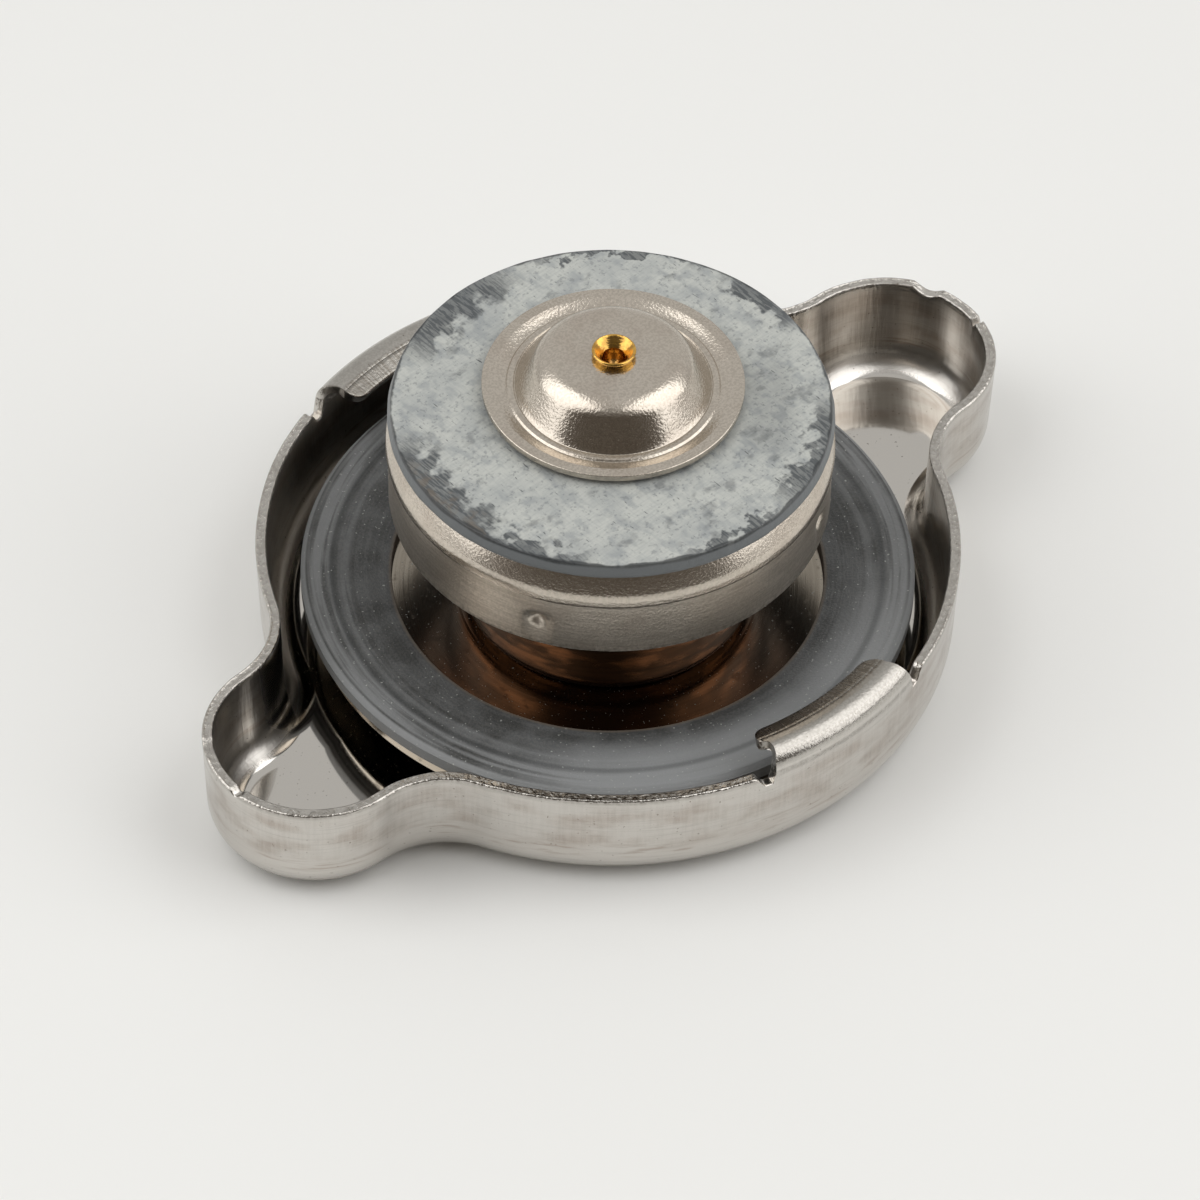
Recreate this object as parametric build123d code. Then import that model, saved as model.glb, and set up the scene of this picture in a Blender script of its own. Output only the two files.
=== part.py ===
from build123d import *
import os
from math import atan2, cos, degrees, hypot, radians, sin, sqrt, tan

# Pressed radiator cap, modelled as it lies on its outer face: +Z points into the filler neck, X runs
# along the two ears, and the origin is on the resting face under the middle. Millimetres and degrees.

# Cover: one stamped sheet with two ears
shell_sheet = 0.7
rim_height = 8.0
body_radius = 23.0          # outside of the wall, at the rim
ear_radius = 7.15           # outside of the ear, at the rim
ear_reach = 25.5            # middle of the cover to the middle of the ear's round end
blend_radius = 5.7          # hollow between the body and an ear
wall_flare = 2.0            # degrees that the wall leans outwards
floor_corner = 2.7          # outside corner between floor and wall
recess_radius = 14.2        # sunk panel in the middle of the outer face
recess_depth = 1.6
recess_mouth = 0.6          # rounding of the recess's mouth
recess_corner = 0.5

# Cam lugs, bent inwards from the wall
lug_middles = (90.0, 270.0)
lug_half_angle = 15.3
lug_height = 1.7            # from the rim to the corner that the bend rounds off
lug_bend = 1.3              # outside radius of the bend
lug_reach = 3.0             # from the wall's outside to the lug's inner edge
lug_crease_reach = 1.9
lug_crease_bend = 0.7
lug_crease_drop = 0.3
lug_lip_drop = 0.35         # below that corner, at the lug's inner edge
lug_lip_corner = 1.0        # rounding of the lip's two corners, seen from above
lug_root_depth = 1.5        # how far the lug's section runs down inside the wall
notch_width = 1.3           # round-bottomed nick beside each end of a lug
notch_depth = 0.9

# Nicks that the shearing die left in the ears' rims: angle round the ear from +X, width and depth
right_ear_nicks = ((23.0, 1.8, 0.5), (-15.0, 0.5, 0.6))
left_ear_nicks = ((184.0, 0.8, 0.35), (147.0, 1.2, 0.18))

# Rivet and its washers
rivet_head_radius = 4.6
rivet_head_height = 1.0
rivet_head_edge = 0.4
shoulder_radius = 3.0
neck_radius = 2.0
running_gap = 0.05          # between the turning shoulder and the cover, all round and along the axis
neck_gap = 0.04
spacer_radius = 6.0
spacer_thickness = 0.55
washer_radius = 4.3
washer_thickness = 0.5
formed_radius = 3.3
formed_height = 1.1
formed_flat = 0.2           # straight foot of the formed head, under its rounding

# Spring disc and the upper gasket on it
disc_sheet = 0.4
disc_flat_margin = 0.2      # from the bell's side to where the disc starts to rise
disc_to_wall = 3.4          # from the disc's edge to the outside of the cover's wall
disc_rise = 1.1             # how far the outer edge stands above the flat middle
disc_cone_bend = 0.8
disc_rim_drop = 1.15
disc_rim_bend = 0.5
disc_rim_shoulder = 0.75    # from the disc's edge to where its rim starts to turn down
upper_gasket_overhang = 0.5
upper_gasket_width = 5.95
upper_gasket_thickness = 1.2
upper_gasket_bevel = 0.35

# Bell housing
bell_sheet = 0.6
bell_radius = 9.6
bell_corner = 1.3
bell_straight = 4.7         # height of the straight side, from the bell's floor
bell_taper_bend = 1.8
bell_mouth_band = 1.8       # straight band under the flange
bell_mouth_bend = 1.2
bell_flange_width = 1.05
bell_flange_bend = 0.5
bell_flange_gap = 0.45      # between the flange's edge and the inside of the cup
flange_to_dimple = 0.12

# Pressure valve: cup, gasket and the spring's seat
cup_sheet = 0.5
cup_radius = 14.3
cup_bottom = 12.6
cup_skirt_height = 4.15
cup_bead_height = 2.7       # from the skirt's top to the top of the hem
cup_bead_bulge = 0.22
cup_hem_width = 0.8
cup_hem_crown = 0.2
cup_plate_drop = 0.5        # from the hem's top down to the plate inside it
cup_hole_radius = 5.1
dimple_count = 4
dimple_first = 28.5
dimple_rise = 2.05          # above the skirt's lower edge
dimple_pit_radius = 0.6
dimple_bump_radius = 0.95
dimple_centre_depth = 0.2
gasket_rise = 1.0           # the gasket's face above the hem's top
gasket_bore_overhang = 0.2  # how far the rubber reaches in past the cup's hole
gasket_face_inset = 0.15
gasket_lip_overhang = 0.08
gasket_fit = 0.05
seat_sheet = 0.6
seat_lip_depth = 1.1
seat_bend = 0.4
seat_hole_margin = 0.22     # room round the stem where it stands off the axis
flow_hole_count = 4
flow_hole_radius = 0.7
flow_ring_radius = 4.1

# Main spring
spring_wire = 1.4
spring_side_gap = 0.3
spring_turns = 5.5

# Vacuum valve, which rests a little off the axis because its stem is loose in the seat
valve_offset = (0.95, 0.86)
valve_sheet = 0.45
valve_seat_gap = 0.03
valve_overlap = 3.55        # from the gasket's bore out to the valve's edge
valve_rim_width = 0.75
groove_wall_width = 0.85
groove_width = 0.55
groove_depth = 0.3
dome_lean = 1.8             # how far the dome's side leans in
dome_height = 2.75          # above the groove's floor
dome_round = 1.5
groove_round = 0.35
stem_radius = 1.1
stem_head_foot = 0.1        # how far the flared head's foot stands out from the stem
stem_head_radius = 1.44
stem_head_height = 0.5
stem_head_edge = 0.1
stem_hole_radius = 0.62
stem_hole_depth = 2.2
stem_flare = 0.62           # depth and width of the funnel in the head
stem_fit = 0.03
stem_tail_radius = 1.7
stem_tail_height = 0.5
stem_tail_edge = 0.25
retainer_radius = 3.0
retainer_thickness = 0.45
light_wire = 0.4
light_spring_height = 4.1
light_spring_turns = 4.0
light_spring_top_radius = 4.3
light_spring_end_gap = 0.25

# Heights that follow from the sizes above
lug_top = rim_height + lug_height
panel_under = recess_depth
panel_top = panel_under + shell_sheet
spacer_under = panel_top + running_gap
disc_under = spacer_under + spacer_thickness
bell_under = disc_under + disc_sheet
bell_floor = bell_under + bell_sheet
bell_straight_top = bell_floor + bell_straight
washer_top = bell_floor + washer_thickness
dimple_height = cup_bottom + dimple_rise
cup_skirt_top = cup_bottom + cup_skirt_height
cup_hem_top = cup_skirt_top + cup_bead_height
cup_plate_top = cup_hem_top - cup_plate_drop
cup_plate_under = cup_plate_top - cup_sheet
gasket_face = cup_hem_top + gasket_rise
seat_under = cup_plate_under - seat_sheet
groove_under = gasket_face + valve_seat_gap
flange_top = groove_under + groove_depth + valve_sheet
dome_top = groove_under + valve_sheet + dome_height
retainer_top = seat_under - light_spring_height

# Radii that follow from the sizes above
lug_inner_radius = body_radius - lug_reach
lug_crease_radius = body_radius - lug_crease_reach
disc_radius = body_radius - disc_to_wall
disc_flat_radius = bell_radius + disc_flat_margin
upper_gasket_outer = disc_radius + upper_gasket_overhang
upper_gasket_inner = upper_gasket_outer - upper_gasket_width
cup_inner_radius = cup_radius - cup_sheet
bell_flange_radius = cup_inner_radius - bell_flange_gap
bell_mouth_radius = bell_flange_radius - bell_flange_width
gasket_face_radius = cup_radius - gasket_face_inset
gasket_lip_radius = cup_radius + gasket_lip_overhang
gasket_hole_radius = cup_hole_radius - gasket_bore_overhang
spring_radius = bell_radius - bell_sheet - spring_side_gap - spring_wire / 2
flange_radius = gasket_hole_radius + valve_overlap
groove_outer_radius = flange_radius - valve_rim_width
groove_mid_radius = groove_outer_radius - groove_wall_width
dome_base_radius = groove_mid_radius - groove_width
dome_shoulder_radius = dome_base_radius - dome_lean

# The flange of the bell rests just above the bumps that the cup's dimples raise inside it
bump_to_flange = cup_radius - dimple_centre_depth - bell_flange_radius
bump_half_height = sqrt(dimple_bump_radius**2 - bump_to_flange**2)
flange_under = dimple_height + bump_half_height + flange_to_dimple

full_turn = 360.0
cut_past = 2.0              # how far a cutting shape runs past the faces that it cuts
near = 0.01                 # how close a found edge must be to where it is looked for


def mid_path_sides(path, thickness):
    """The two faces of a pressed sheet, as polylines half its thickness to each side of its mid-line."""
    sides = []
    for side in (0.5, -0.5):
        points = []
        for i, (x, y) in enumerate(path):
            before = path[i - 1] if i > 0 else None
            after = path[i + 1] if i < len(path) - 1 else None
            normals = []
            for a, b in ((before, (x, y)), ((x, y), after)):
                if a is not None and b is not None:
                    run = hypot(b[0] - a[0], b[1] - a[1])
                    normals.append((-(b[1] - a[1]) / run, (b[0] - a[0]) / run))
            nx = sum(n[0] for n in normals) / len(normals)
            ny = sum(n[1] for n in normals) / len(normals)
            scale = side * thickness / (nx * nx + ny * ny)
            points.append((x + nx * scale, y + ny * scale))
        sides.append(points)
    return sides


def turn_sign(a, b, c):
    """Plus one where a path turns left at b, minus one where it turns right."""
    cross = (b[0] - a[0]) * (c[1] - b[1]) - (b[1] - a[1]) * (c[0] - b[0])
    return 1 if cross > 0 else -1


def sheet_section(path, bends, thickness):
    """Cross-section of a pressed sheet from its mid-line (radius, height) and its mid-line bend radii."""
    left, right = mid_path_sides(path, thickness)
    left_radii, right_radii = [], []
    for i, bend in enumerate(bends):
        sign = turn_sign(path[i], path[i + 1], path[i + 2])
        left_radii.append(bend - sign * thickness / 2)
        right_radii.append(bend + sign * thickness / 2)
    one = FilletPolyline(*left, radius=left_radii) if bends else Line(*left)
    other = FilletPolyline(*right, radius=right_radii) if bends else Line(*right)
    ends = [Line(left[0], right[0]), Line(left[-1], right[-1])]
    return make_face(Curve() + [one, other] + ends)


def spun(face, start=0.0, arc=full_turn):
    """A section drawn as (radius, height), turned about the cap's axis from a start angle."""
    turned = revolve(Plane.XZ * face, axis=Axis.Z, revolution_arc=arc)
    return Rot(0, 0, start) * turned


def ring(inner, outer, low, high):
    """A plain washer or disc between two heights."""
    solid = Pos(0, 0, low) * Cylinder(outer, high - low, align=(Align.CENTER, Align.CENTER, Align.MIN))
    if inner > 0:
        solid -= Pos(0, 0, low) * Cylinder(inner, high - low, align=(Align.CENTER, Align.CENTER, Align.MIN))
    return solid


def cover_outline(inset):
    """The cover's plan: a round body and two ears, joined by hollow blends, all set in by one amount."""
    body, ear, blend = body_radius - inset, ear_radius - inset, blend_radius + inset
    to_body, to_ear = body + blend, ear + blend
    x = (to_body**2 - to_ear**2 + ear_reach**2) / (2 * ear_reach)
    y = sqrt(to_body**2 - x * x)
    body_angle, ear_angle = atan2(y, x), atan2(y, x - ear_reach)

    def at(centre, radius, angle):
        return (centre[0] + radius * cos(angle), centre[1] + radius * sin(angle))

    ear_end = at((ear_reach, 0), ear, ear_angle)
    body_start = at((0, 0), body, body_angle)
    blend_middle_angle = (atan2(-y, ear_reach - x) + atan2(-y, -x)) / 2
    blend_middle = at((x, y), blend, blend_middle_angle)
    edges = []
    for side in (1, -1):
        def flip(p):
            return (p[0] * side, p[1])

        def down(p):
            return (p[0] * side, -p[1])

        edges.append(ThreePointArc(down(ear_end), flip((ear_reach + ear, 0)), flip(ear_end)))
        edges.append(ThreePointArc(flip(ear_end), flip(blend_middle), flip(body_start)))
        edges.append(ThreePointArc(down(ear_end), down(blend_middle), down(body_start)))
    for side in (1, -1):
        left, right = (-body_start[0], side * body_start[1]), (body_start[0], side * body_start[1])
        edges.append(ThreePointArc(right, (0, side * body), left))
    return make_face(Curve() + edges)


def cover_block(inset, bottom, top, corner):
    """A solid of the cover's plan which widens upwards, with its bottom edge rounded."""
    rim_to_bottom = (top - bottom) * tan(radians(wall_flare))
    rim_inset = inset - (top - rim_height) * tan(radians(wall_flare))
    block = extrude(Pos(0, 0, bottom) * cover_outline(rim_inset + rim_to_bottom), top - bottom,
                    taper=-wall_flare)
    return fillet(block.edges().group_by(Axis.Z)[0], corner)


def lug(middle):
    """One cam lug: the wall runs on upwards, bends inwards and ends in a slightly raised lip."""
    half = shell_sheet / 2
    wall = body_radius - half
    path = [(wall - lug_root_depth * tan(radians(wall_flare)), rim_height - lug_root_depth),
            (wall, lug_top - half),
            (lug_crease_radius, lug_top - half - lug_crease_drop),
            (lug_inner_radius, lug_top - half - lug_lip_drop)]
    section = sheet_section(path, [lug_bend - half, lug_crease_bend], shell_sheet)
    turned = spun(section, middle - lug_half_angle, 2 * lug_half_angle)
    corners = turned.edges().filter_by(
        lambda e: abs(e.length - shell_sheet) < near
        and abs(hypot(e.center().X, e.center().Y) - lug_inner_radius) < near)
    return fillet(corners, lug_lip_corner)


def rim_notch(middle, radius, angle, width, depth):
    """A round-bottomed nick in the rim, at an angle round the middle of a body or ear arc."""
    foot = Pos(radius, 0, rim_height - depth + width / 2)
    slot = foot * Rot(0, 90, 0) * Cylinder(width / 2, 2 * cut_past)
    slot += foot * Box(2 * cut_past, width, depth + cut_past,
                       align=(Align.CENTER, Align.CENTER, Align.MIN))
    return Pos(middle, 0, 0) * Rot(0, 0, angle) * slot


def make_cap_shell():
    shell = cover_block(0, 0, rim_height, floor_corner)
    plateau_radius = recess_radius + shell_sheet
    shell -= cover_block(shell_sheet, shell_sheet, rim_height + shell_sheet, floor_corner - shell_sheet)
    plateau = ring(0, plateau_radius, shell_sheet / 2, panel_top)
    plateau = fillet(plateau.edges().group_by(Axis.Z)[-1], recess_corner + shell_sheet)
    recess = ring(0, recess_radius, 0, recess_depth)
    recess = fillet(recess.edges().group_by(Axis.Z)[-1], recess_corner)
    shell = shell + plateau - recess
    mouth = shell.edges().filter_by(GeomType.CIRCLE).filter_by(
        lambda e: abs(e.radius - recess_radius) < near and abs(e.center().Z) < near)
    shell = fillet(mouth, recess_mouth)
    shell -= ring(0, shoulder_radius + running_gap, 0, panel_top + shell_sheet)
    notch_angle = lug_half_angle + degrees(notch_width / 2 / body_radius)
    for middle in lug_middles:
        for side in (1, -1):
            shell -= rim_notch(0, body_radius, middle + side * notch_angle, notch_width, notch_depth)
        shell += lug(middle)
    for middle, nicks in ((ear_reach, right_ear_nicks), (-ear_reach, left_ear_nicks)):
        for nick in nicks:
            shell -= rim_notch(middle, ear_radius, *nick)
    return shell


def make_centre_rivet():
    head_top = panel_under - running_gap
    rivet = ring(0, rivet_head_radius, head_top - rivet_head_height, head_top)
    rivet = fillet(rivet.edges().group_by(Axis.Z)[0], rivet_head_edge)
    rivet += ring(0, shoulder_radius, head_top, spacer_under)
    rivet += ring(0, neck_radius, spacer_under, washer_top)
    formed = ring(0, formed_radius, washer_top, washer_top + formed_height)
    return rivet + fillet(formed.edges().group_by(Axis.Z)[-1], formed_height - formed_flat)


def make_spacer_washer():
    return ring(neck_radius + neck_gap, spacer_radius, spacer_under, disc_under)


def make_rivet_washer():
    return ring(neck_radius + neck_gap, washer_radius, bell_floor, washer_top)


def disc_mid_path():
    """Mid-line of the spring disc: flat middle, shallow cone, turned-down rim."""
    mid = disc_under + disc_sheet / 2
    return [(neck_radius + neck_gap, mid), (disc_flat_radius, mid),
            (disc_radius - disc_sheet / 2, mid + disc_rise),
            (disc_radius - disc_sheet / 2, mid + disc_rise - disc_rim_drop)]


def make_spring_disc():
    return spun(sheet_section(disc_mid_path(), [disc_cone_bend, disc_rim_bend], disc_sheet))


def disc_top_at(radius):
    """Height of the disc's upper face on its cone."""
    upper, _ = mid_path_sides(disc_mid_path(), disc_sheet)
    (r0, z0), (r1, z1) = upper[1], upper[2]
    return z0 + (z1 - z0) * (radius - r0) / (r1 - r0)


def make_upper_gasket():
    seat_edge = disc_radius - disc_rim_shoulder
    low_in, low_out = disc_top_at(upper_gasket_inner), disc_top_at(seat_edge)
    slope = (low_out - low_in) / (seat_edge - upper_gasket_inner)
    top_in = low_in + upper_gasket_thickness
    top_edge = upper_gasket_outer - upper_gasket_bevel
    top_out = top_in + slope * (top_edge - upper_gasket_inner)
    section = make_face(Polyline(
        (upper_gasket_inner, low_in), (seat_edge, low_out), (upper_gasket_outer, low_out),
        (upper_gasket_outer, top_out - upper_gasket_bevel), (top_edge, top_out),
        (upper_gasket_inner, top_in), (upper_gasket_inner, low_in)))
    return spun(section)


def make_bell_housing():
    half = bell_sheet / 2
    wall = bell_radius - half
    mouth = bell_mouth_radius - half
    flange = flange_under + half
    path = [(neck_radius + neck_gap, bell_under + half), (wall, bell_under + half),
            (wall, bell_straight_top), (mouth, flange - bell_mouth_band), (mouth, flange),
            (bell_flange_radius, flange)]
    bends = [bell_corner - half, bell_taper_bend, bell_mouth_bend, bell_flange_bend]
    return spun(sheet_section(path, bends, bell_sheet))


def coil(top_radius, low_radius, wire, low, high, turns):
    """A compression spring between two heights."""
    height = high - low - wire
    lean = degrees(atan2(top_radius - low_radius, height))
    path = Pos(0, 0, low + wire / 2) * Helix(height / turns, height, low_radius, cone_angle=lean)
    start = Plane(origin=path @ 0, z_dir=path % 0)
    return sweep(start * Circle(wire / 2), path=path, is_frenet=True)


def make_main_spring():
    return coil(spring_radius, spring_radius, spring_wire, bell_floor, seat_under, spring_turns)


def make_valve_cup():
    bead = cup_radius + cup_bead_bulge
    hem_inner = cup_radius - cup_hem_width
    hem_mid = (cup_radius + hem_inner) / 2
    hem_foot = cup_hem_top - cup_hem_crown
    bead_start = cup_skirt_top + cup_bead_bulge
    outer = Polyline((cup_inner_radius, cup_bottom), (cup_radius, cup_bottom),
                     (cup_radius, cup_skirt_top), (cup_radius + cup_bead_bulge / 2, bead_start))
    bead_arc = ThreePointArc((cup_radius + cup_bead_bulge / 2, bead_start),
                             (bead, (bead_start + hem_foot) / 2), (cup_radius, hem_foot))
    hem = ThreePointArc((cup_radius, hem_foot), (hem_mid, cup_hem_top), (hem_inner, hem_foot))
    inner = Polyline((hem_inner, hem_foot), (hem_inner, cup_plate_top), (cup_hole_radius, cup_plate_top),
                     (cup_hole_radius, cup_plate_under), (cup_inner_radius, cup_plate_under),
                     (cup_inner_radius, cup_bottom))
    step = full_turn / dimple_count
    seam = dimple_first - step / 2
    cup = spun(make_face(Curve() + [outer, bead_arc, hem, inner]), seam)
    for i in range(dimple_count):
        place = Rot(0, 0, dimple_first + i * step)
        place *= Pos(cup_radius - dimple_centre_depth, 0, dimple_height)
        bump = place * Sphere(dimple_bump_radius) & ring(0, cup_radius, cup_bottom, cup_plate_top)
        cup = cup + bump - place * Sphere(dimple_pit_radius)
    return cup


def make_pressure_gasket():
    pocket = cup_radius - cup_hem_width - gasket_fit
    lip_under = cup_hem_top + gasket_fit
    section = make_face(Polyline(
        (gasket_hole_radius, cup_plate_top), (pocket, cup_plate_top), (pocket, lip_under),
        (gasket_lip_radius, lip_under), (gasket_face_radius, gasket_face),
        (gasket_hole_radius, gasket_face), (gasket_hole_radius, cup_plate_top)))
    return spun(section)


def make_spring_seat():
    half = seat_sheet / 2
    lip = spring_radius + spring_wire / 2 + spring_side_gap + half
    hole = stem_radius + hypot(*valve_offset) + 2 * stem_fit + seat_hole_margin
    path = [(hole, seat_under + half), (lip, seat_under + half), (lip, seat_under - seat_lip_depth)]
    seat = spun(sheet_section(path, [seat_bend + half], seat_sheet))
    for i in range(flow_hole_count):
        place = Rot(0, 0, i * full_turn / flow_hole_count) * Pos(flow_ring_radius, 0, 0)
        seat -= place * ring(0, flow_hole_radius, seat_under, cup_plate_under)
    return seat


def on_stem(solid):
    """Moves a piece of the vacuum valve from the cap's axis to where its stem stands."""
    return Pos(valve_offset[0], valve_offset[1], 0) * solid


def make_vacuum_disc():
    half = valve_sheet / 2
    low, flange, top = groove_under + half, flange_top - half, dome_top - half
    path = [(stem_radius + stem_fit, top), (dome_shoulder_radius, top), (dome_base_radius, low),
            (groove_mid_radius, low), (groove_outer_radius, flange), (flange_radius, flange)]
    bends = [dome_round, groove_round, groove_round, groove_round]
    return on_stem(spun(sheet_section(path, bends, valve_sheet)))


def make_vacuum_stem():
    tail_top = retainer_top - retainer_thickness
    stem = ring(0, stem_radius, tail_top, dome_top)
    head = Pos(0, 0, dome_top) * Cone(stem_radius + stem_head_foot, stem_head_radius, stem_head_height,
                                      align=(Align.CENTER, Align.CENTER, Align.MIN))
    stem += fillet(head.edges().group_by(Axis.Z)[-1], stem_head_edge)
    tail = ring(0, stem_tail_radius, tail_top - stem_tail_height, tail_top)
    stem += fillet(tail.edges().group_by(Axis.Z)[0], stem_tail_edge)
    head_top = dome_top + stem_head_height
    bore = ring(0, stem_hole_radius, head_top - stem_hole_depth, head_top)
    flare = Pos(0, 0, head_top - stem_flare) * Cone(
        stem_hole_radius, stem_hole_radius + stem_flare, stem_flare,
        align=(Align.CENTER, Align.CENTER, Align.MIN))
    return on_stem(stem - bore - flare)


def make_vacuum_retainer():
    return on_stem(ring(stem_radius + stem_fit, retainer_radius, retainer_top - retainer_thickness,
                        retainer_top))


def make_vacuum_spring():
    low_radius = retainer_radius - light_spring_end_gap - light_wire / 2
    return on_stem(coil(light_spring_top_radius, low_radius, light_wire, retainer_top, seat_under,
                        light_spring_turns))


pieces = {
    "cap_shell": make_cap_shell,
    "centre_rivet": make_centre_rivet,
    "spacer_washer": make_spacer_washer,
    "spring_disc": make_spring_disc,
    "upper_gasket": make_upper_gasket,
    "bell_housing": make_bell_housing,
    "rivet_washer": make_rivet_washer,
    "main_spring": make_main_spring,
    "valve_cup": make_valve_cup,
    "pressure_gasket": make_pressure_gasket,
    "spring_seat": make_spring_seat,
    "vacuum_disc": make_vacuum_disc,
    "vacuum_stem": make_vacuum_stem,
    "vacuum_spring": make_vacuum_spring,
    "vacuum_retainer": make_vacuum_retainer,
}

os.makedirs("parts", exist_ok=True)
for name, make in pieces.items():
    export_step(make(), f"parts/{name}.step")
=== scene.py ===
from math import atan2, ceil, cos, hypot, pi, radians, sin, sqrt, tan, tau

import bmesh
import bpy
from mathutils import Matrix, Vector, noise


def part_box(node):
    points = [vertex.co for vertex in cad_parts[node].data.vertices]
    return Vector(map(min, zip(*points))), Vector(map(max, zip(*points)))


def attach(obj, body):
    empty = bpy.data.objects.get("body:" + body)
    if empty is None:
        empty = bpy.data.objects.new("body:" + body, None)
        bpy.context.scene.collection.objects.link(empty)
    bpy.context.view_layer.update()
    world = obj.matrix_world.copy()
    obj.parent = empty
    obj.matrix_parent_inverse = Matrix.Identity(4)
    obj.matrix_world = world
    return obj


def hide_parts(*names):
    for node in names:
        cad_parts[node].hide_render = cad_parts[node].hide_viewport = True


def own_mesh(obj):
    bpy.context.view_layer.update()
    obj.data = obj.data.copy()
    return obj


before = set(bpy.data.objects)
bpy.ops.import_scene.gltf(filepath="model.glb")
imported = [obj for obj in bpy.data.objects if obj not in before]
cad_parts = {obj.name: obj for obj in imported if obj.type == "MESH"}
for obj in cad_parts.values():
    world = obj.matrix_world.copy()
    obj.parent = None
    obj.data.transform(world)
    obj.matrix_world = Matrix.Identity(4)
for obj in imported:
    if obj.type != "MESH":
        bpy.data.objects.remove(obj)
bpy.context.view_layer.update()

bl_info = {
    "name": "Pressed radiator cap",
    "version": (1, 0, 0),
    "blender": (4, 5, 0),
    "location": "3D View > Sidebar > Cap",
    "description": "Dresses a two-eared radiator cap with its plated, rubber and brass finishes",
    "category": "Object",
}

MM = 0.001
ARC_STEP = 0.00012          # longest chord of a bend in a section
TURN_STEPS = 360
SHARP_ANGLE = radians(50)


def low(node):
    """Lowest height of a node of the frame."""
    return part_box(node)[0].z


def high(node):
    """Highest height of a node of the frame."""
    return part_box(node)[1].z


def half_width(node):
    """Half of a node's size along X."""
    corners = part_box(node)
    return (corners[1].x - corners[0].x) / 2


def length(name, size, text):
    """A length property, given here in millimetres."""
    return bpy.props.FloatProperty(name=name, default=size * MM, description=text, unit="LENGTH",
                                   precision=5)


def colour(name, code, text):
    """A colour property given as an sRGB hex code."""
    return bpy.props.FloatVectorProperty(name=name, default=linear(code), size=3, min=0, max=1,
                                         subtype="COLOR", description=text)


def linear(code):
    """An sRGB hex code as a linear colour."""
    channels = [int(code[i:i + 2], 16) / 255 for i in (1, 3, 5)]
    return tuple(c / 12.92 if c <= 0.04045 else ((c + 0.055) / 1.055) ** 2.4 for c in channels)


class CoverSizes(bpy.types.PropertyGroup):
    """Sizes of the stamped cover, its ears and its cam lugs"""
    sheet: length("Sheet", 0.7, "Thickness of the stamped sheet")
    rim: length("Rim height", 8.0, "Height of the rim above the resting face")
    body: length("Body radius", 23.0, "Outside radius of the wall at the rim")
    ear: length("Ear radius", 7.15, "Outside radius of an ear at the rim")
    reach: length("Ear reach", 25.5, "From the axis to the middle of an ear's round end")
    blend: length("Blend radius", 5.7, "Hollow between the body and an ear")
    corner: length("Floor corner", 2.7, "Outside radius between the floor and the wall")
    flare: bpy.props.FloatProperty(name="Wall flare", default=radians(2), subtype="ANGLE",
                                   description="How far the wall leans outwards")
    recess: length("Recess radius", 14.2, "Radius of the sunk panel in the outer face")
    recess_depth: length("Recess depth", 1.6, "Depth of the sunk panel")
    recess_mouth: length("Recess mouth", 0.6, "Rounding of the sunk panel's mouth")
    recess_corner: length("Recess corner", 0.5, "Rounding at the foot of the sunk panel's wall")
    hole: length("Rivet hole", 3.05, "Radius of the hole that the rivet's shoulder turns in")
    lug_half: bpy.props.FloatProperty(name="Lug half angle", default=radians(15.3), subtype="ANGLE",
                                      description="Half of the angle that a cam lug takes up")
    notch_width: length("Notch width", 1.35, "Width of the nick beside a lug")
    notch_depth: length("Notch depth", 0.9, "Depth of the nick beside a lug")


class StackSizes(bpy.types.PropertyGroup):
    """Sizes of the spring disc, the upper gasket and the bell housing"""
    disc_sheet: length("Disc sheet", 0.4, "Thickness of the spring disc")
    disc_rise: length("Disc rise", 1.1, "Height of the disc's edge above its flat middle")
    disc_flat: length("Disc flat", 9.8, "Radius of the disc's flat middle")
    neck: length("Neck radius", 2.04, "Hole in the disc and the bell for the rivet's neck")
    gasket_inner: length("Gasket bore", 14.15, "Inside radius of the upper gasket")
    gasket_thickness: length("Gasket thickness", 1.2, "Thickness of the upper gasket")
    gasket_bevel: length("Gasket bevel", 0.35, "Worn bevel on the upper gasket's outer edge")
    bell_sheet: length("Bell sheet", 0.6, "Thickness of the bell housing")
    bell: length("Bell radius", 9.6, "Outside radius of the bell's straight side")
    bell_straight: length("Bell straight", 8.6, "Height where the bell starts to widen")
    bell_mouth: length("Bell mouth", 12.3, "Outside radius of the bell's mouth")


class ValveSizes(bpy.types.PropertyGroup):
    """Sizes of the pressure valve and the vacuum valve"""
    cup: length("Cup radius", 14.3, "Outside radius of the valve cup's skirt")
    cup_sheet: length("Cup sheet", 0.5, "Thickness of the valve cup")
    skirt_top: length("Skirt top", 16.75, "Height of the step above the skirt")
    bead: length("Bead", 0.16, "How far the bead stands out from the skirt")
    hem: length("Hem width", 1.05, "Width of the folded hem that holds the gasket")
    plate_top: length("Plate top", 18.95, "Height of the plate under the gasket")
    cup_hole: length("Cup hole", 5.1, "Radius of the hole in the plate")
    dimple_height: length("Dimple height", 14.65, "Height of the punched dimples")
    dimple: length("Dimple radius", 0.74, "Radius of a punched dimple")
    dimple_depth: length("Dimple depth", 0.32, "Depth of a punched dimple")
    facet: length("Facet depth", 0.17, "How far the strained flat under a dimple is pressed in")
    gasket_hole: length("Gasket bore", 4.9, "Hole in the pressure gasket")
    gasket_edge: length("Gasket edge", 14.15, "Radius of the gasket's top edge")
    disc_sheet: length("Vacuum disc sheet", 0.45, "Thickness of the vacuum disc")
    groove: length("Groove depth", 0.3, "How far the groove lies under the vacuum disc's rim")
    stem: length("Stem radius", 1.1, "Radius of the brass stem")
    stem_head: length("Stem head", 1.44, "Radius of the stem's flared head")


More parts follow.
